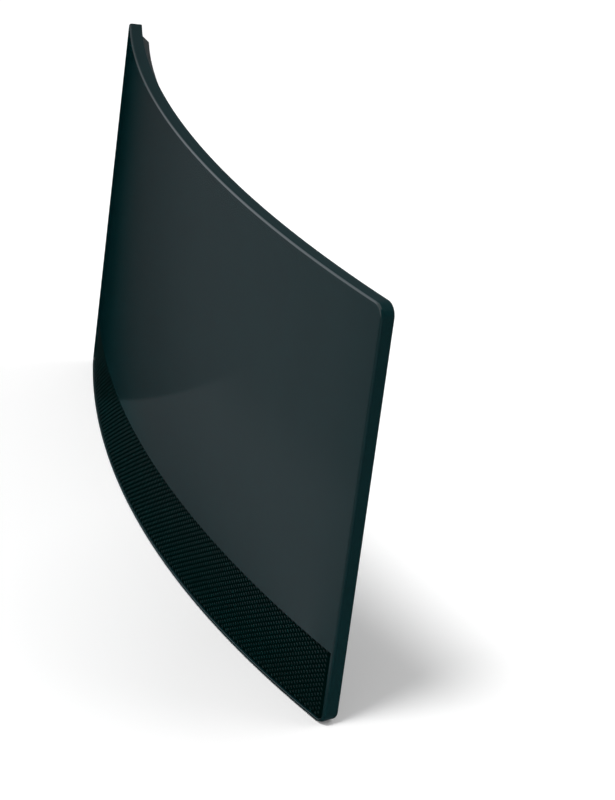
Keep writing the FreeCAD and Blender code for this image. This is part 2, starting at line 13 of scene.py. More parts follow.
import bpy
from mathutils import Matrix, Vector


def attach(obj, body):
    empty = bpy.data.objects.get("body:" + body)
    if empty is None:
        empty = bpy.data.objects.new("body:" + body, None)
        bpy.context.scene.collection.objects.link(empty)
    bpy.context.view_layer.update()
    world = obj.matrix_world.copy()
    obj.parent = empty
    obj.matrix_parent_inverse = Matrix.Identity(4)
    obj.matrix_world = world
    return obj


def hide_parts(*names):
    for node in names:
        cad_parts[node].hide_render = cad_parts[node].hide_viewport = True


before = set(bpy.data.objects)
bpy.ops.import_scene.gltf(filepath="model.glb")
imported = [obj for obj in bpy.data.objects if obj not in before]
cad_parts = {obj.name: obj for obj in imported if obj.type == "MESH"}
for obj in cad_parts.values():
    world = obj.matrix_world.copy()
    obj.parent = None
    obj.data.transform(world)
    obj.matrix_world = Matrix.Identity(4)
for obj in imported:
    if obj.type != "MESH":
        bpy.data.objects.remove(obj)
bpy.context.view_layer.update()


def rounded(values, digits=4):
    """Numbers that are short enough to print."""
    return [round(value, digits) for value in values]


print("nodes", sorted(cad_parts))

# %% [markdown]
# ## The camera
# The view is from the right and a little above, through a long lens, so upright lines stay nearly
# parallel. A camera can be placed by eye, but a panel that bends and leans hides small errors. So
# its angles, its distance and its lens were fitted to the outline of the object.

# %% Camera
QUARTER_TURN = math.pi / 2
CAMERA_PLACE = (0.892896, -0.242903, 0.435276)
CAMERA_TURN = math.radians(73.216)
CAMERA_RISE = math.radians(23.073)
CAMERA_LENS = 141.051

camera_aim = (QUARTER_TURN - CAMERA_RISE, 0, CAMERA_TURN)
bpy.ops.object.camera_add(location=CAMERA_PLACE, rotation=camera_aim)
camera = bpy.context.object
camera.name = "camera"
camera.data.lens = CAMERA_LENS
bpy.context.scene.camera = camera
print("camera at", rounded(camera.location, 3))

# %% [markdown]
# ## Helpers for nodes
# A finish is a tree of nodes. In the shader editor it would be wired by hand, node by node. Here
# each helper adds one small group of nodes and hands back the socket that holds its result, so
# that the floor, the cards and the finishes can be written in a few lines each.

# %% Node helpers
BLACK = (0, 0, 0, 1)
WHITE = (1, 1, 1, 1)


def new_finish(name):
    """A material with its nodes, its links and its main shader."""
    finish = bpy.data.materials.new(name)
    finish.use_nodes = True
    tree = finish.node_tree
    return finish, tree.nodes, tree.links, tree.nodes["Principled BSDF"]


def reckoned(nodes, links, operation, *values):
    """Socket with the result of a sum on sockets and numbers."""
    sum_node = nodes.new("ShaderNodeMath")
    sum_node.operation = operation
    for socket, value in zip(sum_node.inputs, values):
        if isinstance(value, (int, float)):
            socket.default_value = value
        else:
            links.new(value, socket)
    return sum_node.outputs[0]


def looked_at(nodes, links):
    """Socket that is 1 on camera, mirror and glass rays, and 0 on rays that only light."""
    path = nodes.new("ShaderNodeLightPath").outputs
    seen = path["Is Camera Ray"]
    for name in ("Is Glossy Ray", "Is Transmission Ray"):
        seen = reckoned(nodes, links, "MAXIMUM", seen, path[name])
    return seen


def mapped(nodes, links, value, low, high, start=0, end=1, kind="LINEAR"):
    """Socket that runs from low to high as a value goes from its start to its end."""
    change = nodes.new("ShaderNodeMapRange")
    change.interpolation_type = kind
    change.inputs["From Min"].default_value = start
    change.inputs["From Max"].default_value = end
    change.inputs["To Min"].default_value = low
    change.inputs["To Max"].default_value = high
    links.new(value, change.inputs["Value"])
    return change.outputs["Result"]


def graded(nodes, links, value, stops):
    """Socket that follows a table of places with greys or colours."""
    grade = nodes.new("ShaderNodeValToRGB")
    ramp = grade.color_ramp.elements
    ramp[0].position, ramp[1].position = stops[0][0], stops[-1][0]
    for stop in stops[1:-1]:
        ramp.new(stop[0])
    for element, stop in zip(ramp, stops):
        level = stop[1]
        element.color = (level, level, level, 1) if isinstance(level, float) else level
    links.new(value, grade.inputs["Fac"])
    return grade.outputs["Color"]


def placed(nodes, links, middle, turn=(0, 0, 0), spread=(1, 1, 1)):
    """Object coordinates counted from a middle, along turned and stretched axes."""
    place = nodes.new("ShaderNodeTexCoord")
    moved = nodes.new("ShaderNodeMapping")
    moved.vector_type = "TEXTURE"
    moved.inputs["Location"].default_value = middle
    moved.inputs["Rotation"].default_value = turn
    moved.inputs["Scale"].default_value = spread
    links.new(place.outputs["Object"], moved.inputs["Vector"])
    return moved.outputs["Vector"]


# %% [markdown]
# ## The floor
# The antenna stands on a plain white tabletop that keeps its short soft shadow. Stronger lamps
# could make the floor white, but they would wash out the dark plastic. So the lamps stay at a
# plain level, and a small lift on camera and mirror rays takes the unshadowed floor to full
# white. The lift is less round the base, which paints a soft shade on the floor there, and it
# grows far out, where the light falls off.

# %% Floor
FLOOR_SIDE = 24.0
FLOOR_WHITE = (0.96, 0.96, 0.96, 1)
FLOOR_ROUGHNESS = 0.9
LIFT_REACH = 1.8
# lower lifts near the base paint a soft shade on the floor round it
LIFTS_AND_PAINTED_SHADE = ((0.025, 0.09), (0.08, 0.22), (0.25, 0.22), (1.0, 0.6))  # share of the reach, strength
# middle and spread of the painted shade round the base
PAINTED_SHADE_MIDDLE = (0.125, -0.015, 0)
PAINTED_SHADE_SPREAD = (1, 0.7, 1)  # the grey round the base is wider than deep


def clear_selection():
    """Nothing stays selected, so the next operator acts only on what it makes."""
    bpy.ops.object.select_all(action="DESELECT")


clear_selection()
bpy.ops.mesh.primitive_plane_add(size=FLOOR_SIDE)
floor = bpy.context.object
floor.name = "floor"
finish, nodes, links, shader = new_finish("floor_white")
shader.inputs["Base Color"].default_value = FLOOR_WHITE
shader.inputs["Roughness"].default_value = FLOOR_ROUGHNESS
shader.inputs["Specular IOR Level"].default_value = 0.0
shader.inputs["Emission Color"].default_value = WHITE
away = nodes.new("ShaderNodeVectorMath")
away.operation = "LENGTH"
# distance from the base: near it a lower lift paints shade on the floor
links.new(placed(nodes, links, PAINTED_SHADE_MIDDLE, spread=PAINTED_SHADE_SPREAD), away.inputs[0])
reach = mapped(nodes, links, away.outputs["Value"], 0, 1, end=LIFT_REACH)
lift = graded(nodes, links, reach, LIFTS_AND_PAINTED_SHADE)
seen = reckoned(nodes, links, "MULTIPLY", lift, looked_at(nodes, links))
links.new(seen, shader.inputs["Emission Strength"])
floor.data.materials.append(finish)
print("floor side", FLOOR_SIDE)

# %% [markdown]
# ## The lamps
# The shadow is short and soft and falls backwards. A sun lamp would give it a hard edge, so the
# key lamp is a disc high in front. A weak lamp behind leaves the faint grey in front of the panel
# and lights its back, and the world adds an even light from all sides. Neither lamp shows in the
# gloss, because the cards of the next steps stand for what the gloss mirrors.

# %% Lamps and world
LAMP_AIM = Vector((0, 0, 0.05))
LAMPS = (  # name, place, width, power
    ("key_lamp", (0.26, -0.35, 1.45), 0.42, 11.8),
    ("back_lamp", (0.35, 1.0, 0.95), 1.0, 4.0),
)
WORLD_LEVEL = 0.40

for name, place, size, power in LAMPS:
    bpy.ops.object.light_add(type="AREA", location=place)
    lamp = bpy.context.object
    lamp.name = name
    lamp.data.shape = "DISK"
    lamp.data.size = size
    lamp.data.energy = power
    lamp.visible_glossy = False
    lamp.rotation_euler = (LAMP_AIM - lamp.location).to_track_quat("-Z", "Y").to_euler()

world = bpy.data.worlds.new("white_room")
bpy.context.scene.world = world
world.use_nodes = True
nodes, links = world.node_tree.nodes, world.node_tree.links
background = nodes["Background"]
background.inputs["Color"].default_value = WHITE
strength = mapped(nodes, links, looked_at(nodes, links), WORLD_LEVEL, 1)
links.new(strength, background.inputs["Strength"])
bpy.context.scene.view_settings.view_transform = "Standard"
print("lamps", [lamp[0] for lamp in LAMPS])

# %% [markdown]
# ## What the gloss mirrors
# From this side the glossy front is seen at a glancing angle and mirrors what lies to its left.
# In a photo studio that is a dim room with grey cards and a strip light. Lamps could stand there,
# but they would also light the plastic and the floor, so four cards stand for the room. Only
# mirror rays see them: they cast no shadow, light nothing and never show in the picture.

# %% Mirror card helpers
CARD_TINT = (0.93, 0.94, 1.0, 1)
CARD_UNSEEN_BY = ("camera", "diffuse", "transmission", "volume_scatter", "shadow")


def mirror_card(name, low, high, turn=0):
    """A card that only mirror rays see, with a shader that shines and reflects nothing."""
    clear_selection()
    bpy.ops.mesh.primitive_plane_add(size=1)
    card = bpy.context.object
    card.name = name
    wide, deep, tall = [b - a for a, b in zip(low, high)]
    card.scale = (tall if turn else wide, deep, 1)
    card.rotation_euler = (0, turn, 0)
    card.location = [(a + b) / 2 for a, b in zip(low, high)]
    bpy.ops.object.transform_apply(location=True, rotation=True, scale=True)
    for kind in CARD_UNSEEN_BY:
        setattr(card, "visible_" + kind, False)
    finish, nodes, links, shader = new_finish(name)
    shader.inputs["Base Color"].default_value = BLACK
    shader.inputs["Specular IOR Level"].default_value = 0.0
    shader.inputs["Emission Color"].default_value = CARD_TINT
    card.data.materials.append(finish)
    return nodes, links, shader


def axes(nodes, links, middle, turn=(0, 0, 0)):
    """Sockets X, Y and Z of a place, counted from a middle along turned axes."""
    split = nodes.new("ShaderNodeSeparateXYZ")
    links.new(placed(nodes, links, middle, turn), split.inputs["Vector"])
    return split.outputs


# %% [markdown]
# ## The card on the floor
# The front mirrors the floor most, as a fan of tones from black on the left to grey. A radial
# gradient gives such a fan, a little bluer where it is dim. A soft step on it becomes the faint
# arc low on the front. Behind the antenna the card is open, so that the sockets and the matt back
# mirror the white floor below it.

# %% Floor card
FLOOR_CARD = ((-1.25, -1.6, 0.00002), (1.1, 1.8, 0.00002))  # low and high corner
FAN_MIDDLE = (0.10, -0.045, 0)
FAN_TURN = math.radians(90)  # the seam of the gradient lies behind the antenna
FAN_LEVELS = (  # share of a full turn, strength
    (0.234, 0.0085), (0.252, 0.036), (0.270, 0.068), (0.302, 0.148), (0.340, 0.218),
    (0.372, 0.250), (0.430, 0.170), (0.700, 0.170), (0.830, 0.000),
)
FAN_TINTS = (
    (0.234, (0.05, 0.80, 0.90, 1)), (0.252, (0.80, 0.93, 0.99, 1)), (0.262, CARD_TINT),
)
STEP_EDGE = (-0.1312, -0.0833, 0)  # past this line the floor is a little lighter
STEP_TURN = math.radians(-19)
STEP_SOFT = 0.0025
STEP_FADE = (-0.12, -0.02)  # the step dies out along its line
STEP_LEVEL = 0.05
OPEN_EDGE = (-0.10, 0.03, 0)  # behind this slanting line the card is open
OPEN_TURN = math.radians(-8.5)
OPEN_SIDES = (  # axis, level before and after a soft edge, start and end of the edge
    ("X", 0, 1, -0.25, -0.20), ("X", 1, 0, 0.20, 0.24), ("Y", 0, 1, 0, 0.02),
)

nodes, links, shader = mirror_card("floor_card", *FLOOR_CARD)
fan = nodes.new("ShaderNodeTexGradient")
fan.gradient_type = "RADIAL"
links.new(placed(nodes, links, FAN_MIDDLE, (0, 0, -FAN_TURN)), fan.inputs["Vector"])
around = fan.outputs["Fac"]
links.new(graded(nodes, links, around, FAN_TINTS), shader.inputs["Emission Color"])
level = graded(nodes, links, around, FAN_LEVELS)
place = axes(nodes, links, STEP_EDGE, (0, 0, STEP_TURN))
step = mapped(nodes, links, place["X"], 0, STEP_LEVEL, -STEP_SOFT, STEP_SOFT, "SMOOTHSTEP")
dying = mapped(nodes, links, place["Y"], 0, 1, *STEP_FADE, "SMOOTHSTEP")
level = reckoned(nodes, links, "MULTIPLY_ADD", step, dying, level)
links.new(level, shader.inputs["Emission Strength"])
place = axes(nodes, links, OPEN_EDGE, (0, 0, OPEN_TURN))
opening = 1.0
for axis, *change in OPEN_SIDES:
    side = mapped(nodes, links, place[axis], *change)
    opening = reckoned(nodes, links, "MULTIPLY", opening, side)
links.new(reckoned(nodes, links, "SUBTRACT", 1, opening), shader.inputs["Alpha"])
print("floor card from", FLOOR_CARD[0], "to", FLOOR_CARD[1])

# %% [markdown]
# ## The card on the left
# The bright line along the top edge of the front is the image of a strip light. A lamp behind a
# narrow slot could make it, but its strength along the edge would be hard to set. So it is drawn
# on a standing card: it rises, grows wider and brighter towards the front, and has soft sides.
# The rest of the card is dim, a little lighter towards the back, which the top face mirrors.

# %% Wall card
WALL_PLACE = -1.25
WALL_CARD = ((WALL_PLACE, -2.8, 0), (WALL_PLACE, 1.4, 2.4))
WALL_MIDDLE = (0, 0, 0)
WALL_REACH = 0.6
WALL_LEVELS = (  # share of the reach, strength
    (0.10, 0.065), (0.58, 0.045), (0.71, 0.071), (0.87, 0.092),
)
LIGHT_START = (WALL_PLACE, -0.14, 0.10)
LIGHT_RISE = math.radians(33.7)
LIGHT_LENGTH = 1.6
LIGHT_WIDTH = 0.29
LIGHT_SPREAD = 0.45  # how much wider it gets along its length
LIGHT_SIDE = 3.0  # where its soft sides end, in widths from its middle
LIGHT_PEAK = 1.7
LIGHT_LEVELS = (  # share of the length, share of the peak
    (0.0, 0.06), (0.12, 0.26), (0.27, 0.62), (0.45, 0.88), (0.70, 1.0), (1.0, 1.0),
)

nodes, links, shader = mirror_card("wall_card", *WALL_CARD, QUARTER_TURN)
place = axes(nodes, links, LIGHT_START, (-LIGHT_RISE, 0, 0))
along = reckoned(nodes, links, "DIVIDE", place["Y"], -LIGHT_LENGTH)
width = reckoned(nodes, links, "MULTIPLY_ADD", along, LIGHT_SPREAD * LIGHT_LENGTH, LIGHT_WIDTH)
width = reckoned(nodes, links, "MAXIMUM", width, LIGHT_WIDTH / 2)
off = reckoned(nodes, links, "DIVIDE", place["Z"], width)
off = reckoned(nodes, links, "ABSOLUTE", off)
strip = mapped(nodes, links, off, LIGHT_PEAK, 0, end=LIGHT_SIDE, kind="SMOOTHSTEP")
strip = reckoned(nodes, links, "MULTIPLY", strip, graded(nodes, links, along, LIGHT_LEVELS))
back = axes(nodes, links, WALL_MIDDLE)["Y"]
back = mapped(nodes, links, back, 0, 1, end=WALL_REACH)
grey = graded(nodes, links, back, WALL_LEVELS)
links.new(reckoned(nodes, links, "ADD", strip, grey), shader.inputs["Emission Strength"])
print("wall card at", WALL_PLACE, "strip light", LIGHT_LENGTH)

# %% [markdown]
# ## The plain cards
# The rounded corner and the right end face mirror what is overhead and to the right. In the photo
# they are dark, so two dim cards hide the white room from them. One strength all over is enough.

# %% Plain cards
PLAIN_CARDS = (  # name, low corner, high corner, turn, strength
    ("overhead_card", (-0.9, 0.2, 1.2), (1.9, 2.4, 1.2), 0, 0.10),
    ("side_card", (1.1, -1.6, 0), (1.1, 1.8, 1.6), QUARTER_TURN, 0.035),
)

for *card, level in PLAIN_CARDS:
    nodes, links, shader = mirror_card(*card)
    shader.inputs["Emission Strength"].default_value = level
print("plain cards", [card[0] for card in PLAIN_CARDS])

# %% [markdown]
# ## The shape of the panel
# The panel is a sheet bent round an upright axis behind it and then leaned back, and its lower
# edge is cut level with the floor. Modelling on such a surface is awkward, so the pieces of the
# panel are modelled flat: x runs along the sheet, y is the depth behind its front face and z the
# height. One helper then lays a flat piece onto the bent and leaning sheet. Below the top of the
# grille it also lifts the ends, so that height 0 meets the floor.

# %% Sizes of the panel and the way onto it
MM = 0.001
BEND_RADIUS = 592 * MM
HALF_WIDTH = 143.5 * MM
HALF_ARC = BEND_RADIUS * math.asin(HALF_WIDTH / BEND_RADIUS)
PANEL_HEIGHT = 130 * MM
RIM_DEPTH = 4.4 * MM
GRILLE_TOP = 24.8 * MM
LEAN = math.radians(7.5)
PANEL_FORWARD = 30 * MM  # from the middle of the box to the panel's lower front edge
PANEL_LIFT = 0.2 * MM  # the pads under it


def leaned(x, back, rise):
    """Place of a point of the upright panel on the leaning one."""
    y = back * math.cos(LEAN) + rise * math.sin(LEAN) - PANEL_FORWARD
    z = rise * math.cos(LEAN) - back * math.sin(LEAN) + PANEL_LIFT
    return Vector((x, y, z))


def on_panel(along, depth, height):
    """Place of a point of the flat sheet on the bent and leaning one."""
    angle = along / BEND_RADIUS
    radius = BEND_RADIUS - depth
    back = BEND_RADIUS - radius * math.cos(angle)
    rise = height + back * math.tan(LEAN) * max(0, 1 - height / GRILLE_TOP)
    return leaned(radius * math.sin(angle), back, rise)


def lay_on_panel(piece):
    """Moves every point of a piece that was modelled flat."""
    for vertex in piece.data.vertices:
        vertex.co = on_panel(*vertex.co)


print("upper front edge at", rounded(on_panel(0, 0, PANEL_HEIGHT)))
print("right end of the front", rounded(on_panel(HALF_ARC, 0, PANEL_HEIGHT / 2)))

# %% [markdown]
# ## Helpers for modelling by hand
# These wrap the steps that every piece repeats: add a block at its size, pick edges by their
# place, bevel them, cut one piece with another, slice a piece into narrow columns so that it can
# bend smoothly, and shade it. Picking by place keeps working when a size changes, and an index
# wouldn't.

# %% Block and edge helpers
SAME = 0.02 * MM  # places that are closer than this count as one
HAIR = 0.01 * MM  # room for rounding errors


def add_block(name, low, high):
    """A block between two corners, with its size in its mesh."""
    clear_selection()
    middle = [(a + b) / 2 for a, b in zip(low, high)]
    bpy.ops.mesh.primitive_cube_add(size=1, location=middle)
    block = bpy.context.object
    block.name = name
    block.scale = [b - a for a, b in zip(low, high)]
    bpy.ops.object.transform_apply(location=True, rotation=True, scale=True)
    return block


def pick_edges(piece, wanted):
    """Edit mode with just the edges selected whose two ends pass a test."""
    bpy.context.view_layer.objects.active = piece
    bpy.ops.object.mode_set(mode="EDIT")
    bpy.ops.mesh.select_mode(type="EDGE")
    bpy.ops.mesh.select_all(action="DESELECT")
    bpy.ops.object.mode_set(mode="OBJECT")
    places = [vertex.co for vertex in piece.data.vertices]
    picked = 0
    for edge in piece.data.edges:
        if wanted(*(places[index] for index in edge.vertices)):
            edge.select = True
            picked += 1
    bpy.ops.object.mode_set(mode="EDIT")
    return picked


def bevel_edges(piece, wanted, width, segments):
    """Bevels the edges that pass a test and counts them."""
    picked = pick_edges(piece, wanted)
    bpy.ops.mesh.bevel(offset=width, segments=segments, affect="EDGES", clamp_overlap=False)
    bpy.ops.object.mode_set(mode="OBJECT")
    return picked


def near(value, place):
    return abs(value - place) < SAME


def at_depth(depth):
    """A test for edges that lie at one depth."""
    return lambda a, b: near(a.y, depth) and near(b.y, depth)


# %% Cutting and shading helpers
OVERCUT = MM  # how far a cutter stands out of what it cuts


def pick_piece(piece):
    """Just this piece is selected and active."""
    clear_selection()
    piece.select_set(True)
    bpy.context.view_layer.objects.active = piece


def cut_with(piece, cutter, operation="DIFFERENCE"):
    """Takes the cutter out of the piece, or keeps only what lies in it, and removes the cutter."""
    cut = piece.modifiers.new("cut", "BOOLEAN")
    cut.operation = operation
    cut.solver = "EXACT"
    cut.object = cutter
    bpy.context.view_layer.objects.active = piece
    bpy.ops.object.modifier_apply(modifier=cut.name)
    bpy.data.objects.remove(cutter)


def slice_evenly(piece, start, length, count, normal):
    """Cuts the mesh by planes that part a length into equal steps, and keeps both sides."""
    bpy.context.view_layer.objects.active = piece
    bpy.ops.object.mode_set(mode="EDIT")
    axis = Vector(normal)
    for step in range(1, count):
        bpy.ops.mesh.select_all(action="SELECT")
        bpy.ops.mesh.bisect(plane_co=axis * (start + length * step / count), plane_no=axis)
    bpy.ops.object.mode_set(mode="OBJECT")


def smooth(piece, degrees):
    """Smooth shading with sharp edges above an angle, led by the large faces."""
    pick_piece(piece)
    bpy.ops.object.shade_smooth_by_angle(angle=math.radians(degrees))
    even = piece.modifiers.new("even", "WEIGHTED_NORMAL")
    even.keep_sharp = True
    bpy.ops.object.modifier_apply(modifier=even.name)


# %% [markdown]
# ## The glossy front cover
# On the real antenna this is one moulding: a plain bent face, rounded edges all round, and a
# shallow recess along the bottom for the grille strip. It mirrors its surroundings, so every
# facet of the solid would show. It is modelled again from a flat block, whose four corners, front
# edge and back edge are rounded by bevels. The rounding along the floor is then pressed flatter.

# %% Front cover, the block
CORNER_RADIUS = 4.0 * MM
CORNER_STEPS = 8
FRONT_EDGE_RADIUS = 0.8 * MM
FRONT_EDGE_STEPS = 6
BACK_EDGE_BREAK = 0.2 * MM
BACK_EDGE_STEPS = 2
LIP_ROUNDING = 0.3 * MM  # the edge along the floor is crisper


def runs_through(a, b):
    """Edges that lead from the front to the back."""
    return abs(a.y - b.y) > 0.5 * RIM_DEPTH


def along_the_floor(a, b):
    """Long edges of the rounding that runs along the floor."""
    return max(a.z, b.z) < FRONT_EDGE_RADIUS + HAIR and abs(a.x - b.x) > HALF_ARC


front = add_block("front_shell", (-HALF_ARC, 0, 0), (HALF_ARC, RIM_DEPTH, PANEL_HEIGHT))
bevel_edges(front, runs_through, CORNER_RADIUS, CORNER_STEPS)
bevel_edges(front, at_depth(0), FRONT_EDGE_RADIUS, FRONT_EDGE_STEPS)
bevel_edges(front, at_depth(RIM_DEPTH), BACK_EDGE_BREAK, BACK_EDGE_STEPS)
pressed = pick_edges(front, along_the_floor)
flatter = (1, 1, LIP_ROUNDING / FRONT_EDGE_RADIUS)
bpy.ops.transform.resize(value=flatter, center_override=(0, 0, 0))
bpy.ops.object.mode_set(mode="OBJECT")
print("block faces", len(front.data.polygons), "edges along the floor", pressed)

# %% [markdown]
# The recess and the pocket that takes the rear cover could be inset and extruded, but an inset
# follows the outline of the face that it starts from. So both are cut out with blocks that have
# corners of their own. The edge of the recess then gets a fine rounding, because a moulded edge
# is never sharp.

# %% Front cover, recess and pocket
RECESS_DEPTH = 1.2 * MM
RECESS_END_RIM = 1.5 * MM
RECESS_LIP = 0.9 * MM
RECESS_CORNER_RADIUS = 2.5 * MM
RECESS_CORNER_STEPS = 6
RECESS_EDGE_RADIUS = 0.12 * MM
RECESS_EDGE_STEPS = 3
RECESS_MOUTH = 0.1 * MM  # edges less deep than this lie in the front face
RIM_WALL = 1.7 * MM
LEDGE_DEPTH = 3.2 * MM
POCKET_CORNER_RADIUS = 2.3 * MM
POCKET_CORNER_STEPS = 5


def low_corner(a, b):
    """Edges at the lower corners of the recess."""
    return abs(a.y - b.y) > RECESS_DEPTH and near(a.z, RECESS_LIP)


def round_the_recess(a, b):
    """Edges where the front face turns into the recess."""
    shallow = max(a.y, b.y) < RECESS_MOUTH
    inside = max(abs(a.x), abs(b.x)) < recess_half + HAIR
    above = min(a.z, b.z) > RECESS_LIP - HAIR
    return shallow and inside and above and max(a.z, b.z) < GRILLE_TOP + HAIR


recess_half = HALF_ARC - RECESS_END_RIM
low = (-recess_half, -RECESS_DEPTH, RECESS_LIP)
recess = add_block("recess", low, (recess_half, RECESS_DEPTH, GRILLE_TOP))
bevel_edges(recess, low_corner, RECESS_CORNER_RADIUS, RECESS_CORNER_STEPS)
cut_with(front, recess)

pocket_half = HALF_ARC - RIM_WALL
low = (-pocket_half, LEDGE_DEPTH, RIM_WALL)
pocket = add_block("pocket", low, (pocket_half, 2 * RIM_DEPTH, PANEL_HEIGHT - RIM_WALL))
bevel_edges(pocket, runs_through, POCKET_CORNER_RADIUS, POCKET_CORNER_STEPS)
cut_with(front, pocket)
picked = bevel_edges(front, round_the_recess, RECESS_EDGE_RADIUS, RECESS_EDGE_STEPS)
print("recess edges", picked)

# %% [markdown]
# A flat face can't bend, so the cover is sliced into many narrow columns, and its plain field
# into a few rows. It is then laid on the panel and shaded smooth.

# %% Front cover, bent
COLUMNS = 132
ROWS = 12
FRONT_CREASE = 35  # degrees: an edge that turns by more stays sharp

slice_evenly(front, -HALF_ARC, 2 * HALF_ARC, COLUMNS, (1, 0, 0))
field_low = GRILLE_TOP + RECESS_EDGE_RADIUS
field = PANEL_HEIGHT - FRONT_EDGE_RADIUS - GRILLE_TOP - RECESS_EDGE_RADIUS
slice_evenly(front, field_low, field, ROWS, (0, 0, 1))
lay_on_panel(front)
smooth(front, FRONT_CREASE)
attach(front, "root")
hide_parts("front_cover")
print("front cover faces", len(front.data.polygons))

# %% [markdown]
# ## The grille dots
# The strip is covered with small slanting oval bumps in a staggered lattice. A bump map could
# draw them, but it would leave the outline flat and be lost in the mesh. So one bump is modelled
# as a low dome with few faces. Array modifiers repeat it up the strip and then along it, a second
# set is shifted by half a step, and the flat carpet of dots is laid on the panel in one go.

# %% One set of dots
STRIP_FACE = 0.55 * MM  # depth of the strip's front
DOT_LONG = 0.62 * MM  # half lengths of the oval
DOT_SHORT = 0.37 * MM
DOT_SLANT = math.radians(32)
DOT_HEIGHT = 0.03 * MM
DOT_SINK = 0.05 * MM
DOT_SIDES = 10
DOT_RINGS = ((0.97, 0.72), (0.84, 0.28))  # share of the width, share of the height
COLUMN_PITCH = 1.45 * MM
ROW_PITCH = 1.65 * MM


def repeat(piece, count, step):
    """Copies a piece in a row, within its own mesh."""
    row = piece.modifiers.new("row", "ARRAY")
    row.count = count
    row.use_relative_offset = False
    row.use_constant_offset = True
    row.constant_offset_displace = step
    bpy.context.view_layer.objects.active = piece
    bpy.ops.object.modifier_apply(modifier=row.name)


def dot_carpet(name, x, z, columns, rows):
    """One dome, drawn in at its top, repeated in rows and columns from a first place."""
    clear_selection()
    bpy.ops.mesh.primitive_circle_add(vertices=DOT_SIDES, radius=1, fill_type="NGON")
    dots = bpy.context.object
    dots.name = name
    dots.scale = (DOT_LONG, DOT_SHORT, 1)
    dots.rotation_euler = (QUARTER_TURN, DOT_SLANT, 0)
    dots.location = (x, STRIP_FACE + DOT_SINK, z)
    bpy.ops.object.transform_apply(location=True, rotation=True, scale=True)
    bpy.ops.object.mode_set(mode="EDIT")
    bpy.ops.mesh.select_all(action="SELECT")
    for share, lift in DOT_RINGS:
        forward = (0, -(DOT_HEIGHT + DOT_SINK) * lift, 0)
        bpy.ops.mesh.extrude_region_move(TRANSFORM_OT_translate={"value": forward})
        bpy.ops.transform.resize(value=(share, 1, share), center_override=(x, 0, z))
    bpy.ops.object.mode_set(mode="OBJECT")
    repeat(dots, rows, (0, 0, -ROW_PITCH))
    repeat(dots, columns, (2 * COLUMN_PITCH, 0, 0))
    return dots


def join(pieces):
    """Makes several pieces one, under the name of the first."""
    clear_selection()
    for piece in pieces:
        piece.select_set(True)
    bpy.context.view_layer.objects.active = pieces[0]
    bpy.ops.object.join()


# %% Both sets of dots
STRIP_GAP = 0.2 * MM
STRIP_TOP_MARGIN = 0.08 * MM
STRIP_END_MARGIN = 1.9 * MM
STRIP_LOW_MARGIN = 0.08 * MM
DOT_CREASE = 50

dots_half = recess_half - STRIP_GAP - STRIP_END_MARGIN
dot_reach = math.hypot(DOT_LONG * math.sin(DOT_SLANT), DOT_SHORT * math.cos(DOT_SLANT))
dots_top = GRILLE_TOP - STRIP_GAP - STRIP_TOP_MARGIN - dot_reach
dots_room = dots_top - RECESS_LIP - STRIP_GAP - STRIP_LOW_MARGIN - dot_reach
rows = int(dots_room / ROW_PITCH + 0.5)
columns = int(dots_half / COLUMN_PITCH)
dots = dot_carpet("grille_dots", -columns * COLUMN_PITCH, dots_top, columns + 1, rows)
x, z = (1 - columns) * COLUMN_PITCH, dots_top - ROW_PITCH / 2
between = dot_carpet("grille_dots_between", x, z, columns, rows)
join([dots, between])
lay_on_panel(dots)
bpy.ops.object.shade_smooth_by_angle(angle=math.radians(DOT_CREASE))
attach(dots, "root")
print("dots", rows * (2 * columns + 1), "in rows", rows, "faces", len(dots.data.polygons))

# %% [markdown]
# ## Round pieces by turning
# Screws and sockets are round. Spin could make them from a profile, but it leaves a seam and can
# turn the mesh inside out. The next helper works as a lathe would: a disc is drawn out along Y
# step by step, and at each step its rim is drawn in or out to the next radius.

# %% Turning helpers
ROUND_SIDES = 40


def turned(name, profile, sides=ROUND_SIDES):
    """A closed round piece along Y through pairs of a radius and a place."""
    clear_selection()
    radius, place = profile[0]
    bpy.ops.mesh.primitive_circle_add(vertices=sides, radius=radius, fill_type="NGON")
    piece = bpy.context.object
    piece.name = name
    piece.rotation_euler = (QUARTER_TURN, 0, 0)
    piece.location = (0, place, 0)
    bpy.ops.object.transform_apply(location=True, rotation=True, scale=True)
    bpy.ops.object.mode_set(mode="EDIT")
    bpy.ops.mesh.select_all(action="SELECT")
    for (before, start), (after, end) in zip(profile, profile[1:]):
        bpy.ops.mesh.extrude_region_move(TRANSFORM_OT_translate={"value": (0, end - start, 0)})
        share = after / before
        bpy.ops.transform.resize(value=(share, 1, share), center_override=(0, 0, 0))
    bpy.ops.mesh.select_all(action="SELECT")
    bpy.ops.mesh.normals_make_consistent(inside=False)
    bpy.ops.object.mode_set(mode="OBJECT")
    return piece


def put(piece, place, turn=(0, 0, 0)):
    """Moves and turns a piece, with its new place in its mesh."""
    pick_piece(piece)
    piece.location = place
    piece.rotation_euler = turn
    bpy.ops.object.transform_apply(location=True, rotation=True, scale=True)


def copy_of(piece, name):
    """A copy with its own mesh."""
    pick_piece(piece)
    bpy.ops.object.duplicate(linked=False)
    bpy.context.object.name = name
    return bpy.context.object


# %% [markdown]
# ## The case screws
# Four small pan-head screws hold the rear cover. Each sits in a round well and has a cross recess
# for the driver. One is turned with a rounded head, and two crossed wedges cut the recess. Copies
# then go to the four wells. The wells are square to the sheet's middle, so all the screws lean as
# the panel does.

